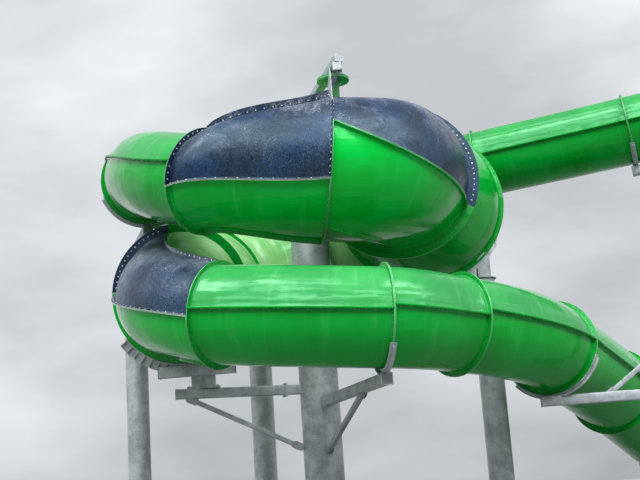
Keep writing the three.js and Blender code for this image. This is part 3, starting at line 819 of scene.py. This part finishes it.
class Steel:
    """One welded steel piece: collects closed shapes and becomes an object at the end."""

    def __init__(self):
        self.vertices = []
        self.faces = []

    def loft(self, rows):
        start = len(self.vertices)
        for row in rows:
            self.vertices += [tuple(corner) for corner in row]
        self.faces += [[start + i for i in face] for face in loft_faces(len(rows), len(rows[0]))]

    def sweep(self, outline, origin, across, up, low, high):
        """A flat outline in the plane of across and up, thick from low to high along its normal."""
        across, up = np.asarray(across, float), np.asarray(up, float)
        normal = np.cross(across, up)
        origin = np.asarray(origin, float)
        self.loft([
            [origin + across * a + up * b + normal * depth for a, b in outline]
            for depth in (high, low)
        ])

    def bar(self, start, end, width, height=None, corner=CORNER):
        """A straight hollow section, wide across and high in its upright plane."""
        run = np.asarray(end, float) - start
        _, across, up = upright_frame(run)
        outline = rounded_rectangle(width, height or width, corner)
        self.sweep(outline, start, across, up, 0, float(np.linalg.norm(run)))

    def plate(self, centre, normal, width, height, thickness):
        """A flat upright plate square to a direction."""
        _, across, up = upright_frame(normal)
        outline = rounded_rectangle(width, height, PLATE_CORNER)
        self.sweep(outline, centre, across, up, -thickness / 2, thickness / 2)

    def block(self, x, y, width, depth, bottom, top, corner=BLOCK_CORNER):
        outline = rounded_rectangle(width, depth, corner)
        self.sweep(outline, (x, y, 0), (1, 0, 0), (0, 1, 0), bottom, top)

    def lathe(self, x, y, profile, sides=COLUMN_SIDES):
        """A round shape about an upright axis from (radius, height) pairs, bottom to top."""
        self.loft([
            [level_way(turn) * radius + (x, y, height) for turn in even_turns(sides)]
            for radius, height in reversed(profile)
        ])

    def band(self, ring, from_angle, to_angle, inner, outer, width):
        """A curved band round part of a ring joint, standing off its flange."""
        steps = max(2, math.ceil((to_angle - from_angle) / BAND_STEP))
        base = ring.radius + ring.flange
        corners = ((inner, -0.5), (outer, -0.5), (outer, 0.5), (inner, 0.5))
        rows = []
        for i in range(steps + 1):
            angle = math.radians(from_angle + (to_angle - from_angle) * i / steps)
            rows.append([
                ring.at(angle, base + rise) + ring.along * (side * width)
                for rise, side in corners
            ])
        self.loft(rows)

    def bolt(self, centre, axis, size=1.0):
        nearly_upright = 0.9
        axis = unit(np.asarray(axis, float))
        helper = (0, 0, 1) if abs(axis[2]) < nearly_upright else (1, 0, 0)
        across = unit(np.cross(helper, axis))
        turn = np.array([across, np.cross(axis, across), axis])
        start = len(self.vertices)
        self.vertices += [tuple(v) for v in BOLT_CORNERS * size @ turn + np.asarray(centre, float)]
        self.faces += [[start + i for i in face] for face in BOLT_FACES]

    def build(self, name):
        piece = new_object(name, self.vertices, self.faces, STEEL)
        settle(piece, "galvanised_steel", name)


def beam_flange(steel, centre, along, side):
    """Two bolted plates that join a beam to the stub on its column."""
    thickness = 0.022
    past_beam = 0.055
    bolt_inset = 0.028
    reach = side / 2 + past_beam
    along, across, up = upright_frame(along)
    for way in (-1, 1):
        face = centre + along * way * (thickness + FIT)
        steel.plate(face - along * way * thickness / 2, along, 2 * reach, 2 * reach, thickness)
        for a, b in ((-1, -1), (-1, 0), (-1, 1), (0, -1), (0, 1), (1, -1), (1, 0), (1, 1)):
            seat = face + (across * a + up * b) * (reach - bolt_inset)
            steel.bolt(seat, along * way, PLATE_BOLT)


def end_plate(steel, end, outward, height=ARM):
    """The plate that closes the free end of a beam."""
    outward = unit(outward)
    steel.plate(end - outward * END_PLATE / 2, outward, ARM + END_LIP, height + END_LIP, END_PLATE)


def add_ribs(steel, foot, count, thickness, inner, reach, toe, crest, height):
    """Upright ribs round a point. Each runs from inner to reach, where it is only toe high, and
    from inner to crest at its full height."""
    outline = [(inner, 0), (reach, 0), (reach, toe), (crest, height), (inner, height)]
    for turn in even_turns(count):
        steel.sweep(outline, foot, level_way(turn), (0, 0, 1), -thickness / 2, thickness / 2)


# A column's weld beads, as (rise, height) corners, and the base plate's ribs and anchor bolts.
# Reaches are shares of the base plate's side.
WELD_SPACING = 3.050
WELD_BEAD = ((0.0, -0.010), (0.004, -0.004), (0.004, 0.004), (0.0, 0.010))
WELD_FREE = 0.800  # the length under the cap plate that has no bead
RIB_COUNT = 8
RIB_THICKNESS = 0.024
RIB_REACH = 0.43
RIB_HEIGHT = 1.1
ANCHOR_REACH = 0.42
CAP_BEVEL = 0.006


def add_column(steel, name):
    """Shaft with weld beads, base plate with ribs and anchor bolts, and a cap plate."""
    x, y, radius, top, base = COLUMNS[name]
    shaft_top = top - CAP_THICKNESS
    profile = [(radius, BASE_THICKNESS)]
    height = WELD_SPACING
    while height < shaft_top - WELD_FREE:
        profile += [(radius + rise, height + step) for rise, step in WELD_BEAD]
        height += WELD_SPACING
    steel.lathe(x, y, [*profile, (radius, shaft_top)])
    lip = radius + CAP_LIP
    steel.lathe(x, y, [(lip - CAP_BEVEL, shaft_top), (lip, shaft_top + CAP_BEVEL),
                       (lip, top - CAP_BEVEL), (lip - CAP_BEVEL, top)])
    steel.block(x, y, base, base, 0, BASE_THICKNESS)
    add_ribs(steel, (x, y, BASE_THICKNESS), RIB_COUNT, RIB_THICKNESS, inner=radius - 0.020,
             reach=base * RIB_REACH, toe=0.060, crest=radius + 0.050, height=radius * RIB_HEIGHT)
    for turn in even_turns(RIB_COUNT, 0.5):
        anchor = level_way(turn) * base * ANCHOR_REACH
        steel.bolt(anchor + (x, y, BASE_THICKNESS), (0, 0, 1), ANCHOR_BOLT)


def column_surface(name, height, along):
    """The point where a level line out of a column's axis meets its shaft."""
    x, y, radius, _, _ = COLUMNS[name]
    level = unit(np.asarray(along, float) * (1, 1, 0))
    return np.array((x, y, height)) + level * (radius - SUNK)


def plain_column(name):
    steel = Steel()
    add_column(steel, name)
    steel.build(name)


# The fin on a saddle's back and the bolts near its edges
FIN = 0.070
FIN_THICKNESS = 0.016
FIN_INSET = 3
SADDLE_BOLT_SPACING = 0.200
SADDLE_BOLT_INSET = 0.030


def add_saddle(steel, ring, from_angle, to_angle, width=SADDLE_WIDTH, fin=FIN):
    """Curved band under a ring, with a fin on its back and bolts near its edges."""
    steel.band(ring, from_angle, to_angle, SEAT, SADDLE, width)
    if fin:
        steel.band(ring, from_angle + FIN_INSET, to_angle - FIN_INSET, SADDLE - SUNK,
                   SADDLE + fin, FIN_THICKNESS)
    # A narrower band has no room for bolts
    if width < SADDLE_WIDTH:
        return
    back = ring.radius + ring.flange + SADDLE
    count = round(math.radians(to_angle - from_angle) * back / SADDLE_BOLT_SPACING)
    for i in range(count):
        angle = math.radians(from_angle + (i + 0.5) * (to_angle - from_angle) / count)
        for way in (-1, 1):
            seat = ring.at(angle, back) + ring.along * way * (width / 2 - SADDLE_BOLT_INSET)
            steel.bolt(seat, ring.outward(angle))


def saddle_column(name, ring_name, spread):
    """A column with a post, a level head and a saddle, which carries a ring joint itself. The
    saddle reaches spread degrees to either side of the ring's lowest point."""
    tall_post = 0.400
    shortest_head = 0.001
    ring = JOINTS[ring_name]
    x, y, radius, top, _ = COLUMNS[name]
    seat = ring.below(SADDLE)
    head = seat[2] - ARM / 2 + SADDLE
    reach = np.array((seat[0] - x, seat[1] - y, 0))
    length = np.linalg.norm(reach)
    direction = reach / length if length > shortest_head else np.array((1.0, 0, 0))
    steel = Steel()
    add_column(steel, name)
    steel.block(x, y, ARM, ARM, top - WELDED, head, CORNER)
    overhang = direction * ARM / 2
    steel.bar((x, y, head) - overhang, (seat[0], seat[1], head) + overhang, ARM)
    if head - top > tall_post:
        add_ribs(steel, (x, y, top), count=4, thickness=0.016, inner=ARM / 2 - 0.010,
                 reach=radius - 0.020, toe=0.030, crest=ARM / 2 + 0.020, height=0.280)
    add_saddle(steel, ring, -90 - spread, -90 + spread)
    steel.build(name)


def add_right_column():
    """The column that carries the widest ring from below, off its centre."""
    post_height = 0.860
    band_width = 0.060
    x, y, _, top, _ = COLUMNS["right_column"]
    steel = Steel()
    add_column(steel, "right_column")
    steel.block(x, y, ARM, ARM, top - WELDED, top + post_height, CORNER)
    add_saddle(steel, JOINTS["right_back"], -66, -30, band_width)
    steel.build("right_column")


def arm_height(ring):
    """The height of an arm's centre line where its top holds a saddle under a ring."""
    return ring.below(SADDLE / 2)[2] - ARM / 2


def brace(steel, start, end):
    """A square brace with bolted lugs at both ends."""
    lug = rounded_rectangle(0.300, 0.180, 0.040)
    lug_thickness = 0.012
    lug_centre = 0.160
    bolt_spacing = 0.090
    start, end = np.asarray(start, float), np.asarray(end, float)
    steel.bar(start, end, BRACE, corner=BRACE_CORNER)
    along, across, up = upright_frame(end - start)
    for centre, way in ((start, 1), (end, -1)):
        middle = centre + along * way * lug_centre
        for side in (-1, 1):
            inside = middle + across * side * BRACE / 2
            steel.sweep(lug, inside + across * side * lug_thickness / 2, along, up,
                        -lug_thickness / 2, lug_thickness / 2)
            for step in (-1, 0, 1):
                seat = inside + across * side * lug_thickness + along * step * bolt_spacing
                steel.bolt(seat, across * side, LUG_BOLT)


def begin_arm(column, end, width=ARM, height=ARM, stub=STUB):
    """The beam from a column to the free end of its arm, with its bolted flange."""
    x, y, *_ = COLUMNS[column]
    along = unit(end - (x, y, end[2]))
    start = column_surface(column, end[2], along)
    steel = Steel()
    steel.bar(start, end, width, height)
    beam_flange(steel, start + along * stub, along, height)
    return steel, along


def add_arm(name, column, end, brace_top, brace_foot, *saddle, stub=STUB):
    """An arm from a column, with its brace and the saddle that it may carry."""
    steel, along = begin_arm(column, end, stub=stub)
    end_plate(steel, end, along)
    brace(steel, brace_top, column_surface(column, brace_foot, along))
    if saddle:
        add_saddle(steel, *saddle)
    steel.build(name)


def main_arm(name, ring_name, past, brace_share, brace_drop):
    """An arm under a ring joint from the main column out past the ring, with its brace."""
    ring = JOINTS[ring_name]
    height = arm_height(ring)
    seat = ring.below(0)
    tip = np.array((seat[0], seat[1], height))
    root = np.array((0, 0, height))
    brace_top = root + (tip - root) * brace_share
    brace_top[2] = height - ARM / 3
    width = 2 * PLATE if ring.radius > SMALL else SADDLE_WIDTH
    add_arm(name, "main_column", tip + unit(tip - root) * past, brace_top, height - brace_drop,
            ring, *SADDLE_ARC, width)


# The top arm, and the hanger on its end: a block, a strut, a band and a tapered plate
TOP_ARM_END = np.array((1.060, -4.200, 12.110))
TOP_ARM_WIDTH = 0.220
TOP_ARM_DEPTH = 0.200
TOP_ARM_STUB = 0.350
HANGER_BLOCK = (1.000, -4.080, 0.230, 11.800, 12.015)
HANGER_STRUT_ANGLE = 98
HANGER_STRUT = 0.080
HANGER_STRUT_CORNER = 0.012
HANGER_PLATE_TOP = ((0.120, 2.480), (0.410, 2.480))
HANGER_PLATE_ARC = (42, 86)
HANGER_PLATE_STEPS = 11
HANGER_PLATE_TIP = 0.050
HANGER_PLATE_THICKNESS = 0.020
HANGER_BAND = (42, 106)


def hanger_plate(steel, ring):
    """The tapered plate from the block down the near side of the ring."""
    rim = ring.radius + ring.flange + SEAT
    low, high = HANGER_PLATE_ARC
    far, near = HANGER_PLATE_TOP

    def on_circle(radius, angle):
        return radius * math.cos(angle), radius * math.sin(angle)

    steps = HANGER_PLATE_STEPS
    angles = [math.radians(high + (low - high) * i / steps) for i in range(steps + 1)]
    tip = on_circle(rim + HANGER_PLATE_TIP, math.radians(low))
    outline = [far, *[on_circle(rim, angle) for angle in angles], tip, near]
    half = HANGER_PLATE_THICKNESS / 2
    steel.loft([
        [ring.centre + ring.side * a + ring.up * b + ring.along * aside for a, b in outline]
        for aside in (-half, half)
    ])


def add_top_arm():
    """The arm over the bell, with the block, plate, strut and band that hang the ring from it."""
    ring = JOINTS["bell_end"]
    steel, _ = begin_arm("main_column", TOP_ARM_END, TOP_ARM_WIDTH, TOP_ARM_DEPTH, TOP_ARM_STUB)
    x, y, side, bottom, top = HANGER_BLOCK
    steel.block(x, y, side, side, bottom, top)
    foot = ring.at(math.radians(HANGER_STRUT_ANGLE), ring.radius + ring.flange + SADDLE / 2)
    steel.bar((x, y, bottom + WELDED), foot, HANGER_STRUT, corner=HANGER_STRUT_CORNER)
    hanger_plate(steel, ring)
    steel.band(ring, *HANGER_BAND, SEAT, SADDLE, 2 * PLATE)
    steel.build("top_arm")


# The left arm's free end, the top of its brace and the height of the brace's foot
LEFT_ARM_END = np.array((-3.720, -1.000, 4.400))
LEFT_BRACE_TOP = (-3.450, -0.930, 4.300)
LEFT_BRACE_FOOT = 2.850


# The cradle: a band, a web under it and ribs between them, from angle to angle round the ring,
# and the beam, block and pad that it rests on
CRADLE_END = -36
CRADLE_BAND = (-92, CRADLE_END, SEAT, SADDLE, 0.200)
CRADLE_WEB = (-108, CRADLE_END, SEAT, 0.260, 0.024)
CRADLE_RIB = (SADDLE - 0.002, 0.240, 0.190)
CRADLE_RIB_ANGLES = [-90 + 6.6 * i for i in range(9)]
CRADLE_RIB_ARC = 0.6
CRADLE_BEAM_HEIGHT = 0.300
CRADLE_BEAM_DROP = 0.020
CRADLE_BEAM_REACH = {1: 0.700, -1: 1.350}
PAD_FROM_SEAT = 0.480
PAD = (0.850, 0.330, 0.060)
PAD_BLOCK = (0.620, 0.260)
PAD_BOLT = (0.370, 0.140)


def add_left_cradle():
    """The ribbed cradle under the narrowing bell, on a beam that rests on a bearing block."""
    ring = JOINTS["left_front"]
    seat = ring.below(SADDLE)
    steel = Steel()
    steel.band(ring, *CRADLE_BAND)
    steel.band(ring, *CRADLE_WEB)
    for angle in CRADLE_RIB_ANGLES:
        steel.band(ring, angle, angle + CRADLE_RIB_ARC, *CRADLE_RIB)

    across = unit(ring.side * (1, 1, 0))
    centre = seat - (0, 0, CRADLE_BEAM_HEIGHT / 2 + CRADLE_BEAM_DROP)
    ends = {way: centre + across * way * reach for way, reach in CRADLE_BEAM_REACH.items()}
    steel.bar(ends[1], ends[-1], ARM, CRADLE_BEAM_HEIGHT)
    for way, end in ends.items():
        end_plate(steel, end, across * way, CRADLE_BEAM_HEIGHT)

    arm_top = LEFT_ARM_END[2] + ARM / 2 + SEAT
    x = seat[0] + PAD_FROM_SEAT
    y = x * LEFT_ARM_END[1] / LEFT_ARM_END[0]
    length, width, thickness = PAD
    pad_top = arm_top + thickness
    beam_bottom = centre[2] - CRADLE_BEAM_HEIGHT / 2
    steel.block(x, y, *PAD_BLOCK, pad_top - 2 * WELDED, beam_bottom + WELDED)
    steel.block(x, y, length, width, arm_top, pad_top)
    for a in (-1, 1):
        for b in (-1, 1):
            steel.bolt((x + a * PAD_BOLT[0], y + b * PAD_BOLT[1], pad_top), (0, 0, 1), PLATE_BOLT)
    steel.build("left_cradle")


def add_left_column_arm():
    """The arm on the left column that reaches forward to the last ring before the bell."""
    overhang = 0.10
    past = 0.04
    brace_share = 0.60
    brace_drop = 1.700
    ring = JOINTS["left"]
    x, y, _, top, _ = COLUMNS["left_column"]
    height = top + SEAT + ARM / 2
    seat = ring.below(SADDLE / 2)
    run = np.array((seat[0] - x, seat[1] - y, 0))
    root = np.array((x, y, height))
    end = root + run * (1 + past)
    steel = Steel()
    steel.bar(root - run * overhang, end, ARM)
    end_plate(steel, end, run)
    brace_top = root + run * brace_share
    brace_top[2] = height - ARM / 3
    brace(steel, brace_top, column_surface("left_column", top - brace_drop, run))
    add_saddle(steel, ring, -125, -20)
    steel.build("left_column_arm")


def add_entry_crosshead():
    """The crosshead on the entry column, which carries both ends of the first bay."""
    beam = 0.300
    overhang = 0.150
    block_side = 0.520
    block_height = 0.450
    brace_shares = (0.14, 0.86)
    brace_drop = 2.200
    end_band_width = 0.052
    near = JOINTS["entry"].below(SADDLE / 2)
    far = JOINTS["start"].below(SADDLE / 2)
    x, y, _, top, _ = COLUMNS["entry_column"]
    drop = np.array((0, 0, -beam / 2))
    run = far - near
    steel = Steel()
    steel.bar(near + drop - unit(run) * overhang, far + drop, beam)
    steel.block(x, y, block_side, block_side, top + SEAT, top + SEAT + block_height)
    add_saddle(steel, JOINTS["entry"], *SADDLE_ARC)
    add_saddle(steel, JOINTS["start"], *SADDLE_ARC, end_band_width, fin=0)
    for share in brace_shares:
        brace_top = near + run * share + drop
        foot = column_surface("entry_column", top - brace_drop, brace_top - (x, y, 0))
        brace(steel, brace_top, foot)
    steel.build("entry_crosshead")


def add_outer_arm():
    """The arm that comes in from the right, hung from its column by a brace over it."""
    ring = JOINTS["lower_end"]
    height = arm_height(ring)
    end = np.array((5.560, -1.790, height))
    brace_top = (7.150, -1.900, height)
    brace_foot = 4.880
    add_arm("outer_arm", "outer_column", end, brace_top, brace_foot, ring, -140, -15, stub=0.400)


# The vent's axis, its outline as (radius, height) pairs and the bolts on its rim
VENT_AXIS = (0.890, -3.400)
VENT_PROFILE = [
    (0.150, 11.000), (0.150, 11.700), (0.168, 11.735), (0.215, 11.765), (0.300, 11.788),
    (0.300, 11.790), (0.404, 11.790), (0.410, 11.796), (0.410, 11.820), (0.404, 11.8285),
    (0.404, 11.8315), (0.410, 11.840), (0.410, 11.864), (0.404, 11.870), (0.350, 11.8705),
    (0.330, 11.888), (0.290, 11.922), (0.240, 11.951), (0.170, 11.971), (0.090, 11.982),
    (0.010, 11.985),
]
VENT_BOLTS = 14
VENT_BOLT_CIRCLE = 0.380
VENT_RIM_TOP = 11.8705


def add_vent():
    """The capped vent on the crown, just past the widest end of the bell."""
    steel = Steel()
    steel.lathe(*VENT_AXIS, VENT_PROFILE)
    # The vent takes the paler painted highlight green of the flange rims
    piece = new_object("crown_vent", steel.vertices, steel.faces, HIGHLIGHT_GREEN)
    settle(piece, "green_shell", "crown_vent")
    centre, upward = np.array((*VENT_AXIS, VENT_RIM_TOP)), np.array((0, 0, 1.0))
    ways_out = [level_way(turn) for turn in even_turns(VENT_BOLTS)]
    seats = [(centre + out * VENT_BOLT_CIRCLE, upward, out) for out in ways_out]
    add_bolts("crown_vent_bolts", seats, SHADED_BOLTS)


# Floor and light

FLOOR_HALF = 400.0


def add_floor():
    corners = [(x * FLOOR_HALF, y * FLOOR_HALF, 0) for x, y in ((-1, -1), (1, -1), (1, 1), (-1, 1))]
    floor = new_object("floor", corners, [(0, 1, 2, 3)], floor_concrete())


def add_world():
    """A cloudy dome: brightest over the horizon, duller overhead, dim in front, with a glare
    through the clouds high in front."""
    world = bpy.data.worlds.new("studio")
    world.use_nodes = True
    sky = Nodes(world.node_tree, "Generated")
    directions = sky.add("ShaderNodeSeparateXYZ", {"Vector": sky.place}).outputs
    clouds = sky.noise(3.0, detail=5.0, rough=0.5, at=sky.scaled(sky.place, (1.0, 1.0, 2.4)))

    def ramp_of(axis, stops):
        """A grey that changes from one end of an axis (0) to the other (1)."""
        share = sky.between(directions[axis], -1, 1, curve="LINEAR")
        ramp = sky.add("ShaderNodeValToRGB", {"Fac": share})
        elements = ramp.color_ramp.elements
        for i, (position, tone) in enumerate(stops):
            stop = elements[i] if i < 2 else elements.new(position)
            stop.position = position
            stop.color = (tone * 0.98, tone, tone * 1.02, 1)
        return ramp.outputs["Color"]

    def cloud_tone(low, high, to_low, to_high):
        return sky.between(clouds, low, high, to_low, to_high, curve="LINEAR")

    def product(a, b):
        return sky.mix(1.0, a, b, "MULTIPLY")

    upward = ramp_of("Z", [(0.0, 0.10), (0.46, 0.16), (0.5, 0.55), (0.56, 0.76), (0.72, 0.84),
                           (0.85, 0.42), (1.0, 0.30)])
    backward = ramp_of("Y", [(0.0, 0.34), (0.14, 0.42), (0.30, 0.72), (0.42, 1.0)])
    high_up = ramp_of("Z", [(0.0, 0.0), (0.68, 0.0), (0.80, 1.0)])
    in_front = ramp_of("Y", [(0.0, 1.0), (0.42, 1.0), (0.56, 0.0)])
    dome = product(product(upward, backward), cloud_tone(0.35, 0.68, 0.72, 1.18))
    glare = product(product(high_up, in_front), cloud_tone(0.48, 0.63, 1.0, 13.0))
    background = sky.tree.nodes["Background"]
    sky.feed(background.inputs["Color"], sky.mix(1.0, dome, glare, "ADD"))
    bpy.context.scene.world = world


def add_sun(name, strength, spread, azimuth, elevation):
    """A soft far light. Azimuth 0 shines from the front, 90 from the right."""
    data = bpy.data.lights.new(name, "SUN")
    data.energy = strength
    data.angle = math.radians(spread)
    light = bpy.data.objects.new(name, data)
    a, e = math.radians(azimuth), math.radians(elevation)
    towards = Vector((math.sin(a) * math.cos(e), -math.cos(a) * math.cos(e), math.sin(e)))
    light.rotation_mode = "QUATERNION"
    light.rotation_quaternion = towards.to_track_quat("Z", "Y")
    light.visible_glossy = False
    bpy.context.scene.collection.objects.link(light)


add_camera()
for bay in BAYS:
    add_bay(*bay)
for column_name in ("main_column", "left_column", "entry_column", "outer_column"):
    plain_column(column_name)
saddle_column("back_column", "back", spread=55)
saddle_column("rear_right_column", "straight_end", spread=55)
saddle_column("exit_column", "finish", spread=50)
add_right_column()
add_top_arm()
add_arm("left_arm", "main_column", LEFT_ARM_END, LEFT_BRACE_TOP, LEFT_BRACE_FOOT)
add_left_cradle()
main_arm("right_arm", "lower_middle", past=0.180, brace_share=0.72, brace_drop=1.300)
main_arm("rear_arm", "rear", past=0.250, brace_share=0.70, brace_drop=1.700)
add_left_column_arm()
add_entry_crosshead()
add_outer_arm()
add_vent()
add_floor()
add_world()
add_sun("key", strength=2.2, spread=50, azimuth=-10, elevation=50)
bpy.context.scene.view_settings.view_transform = "Standard"

bpy.context.view_layer.update()
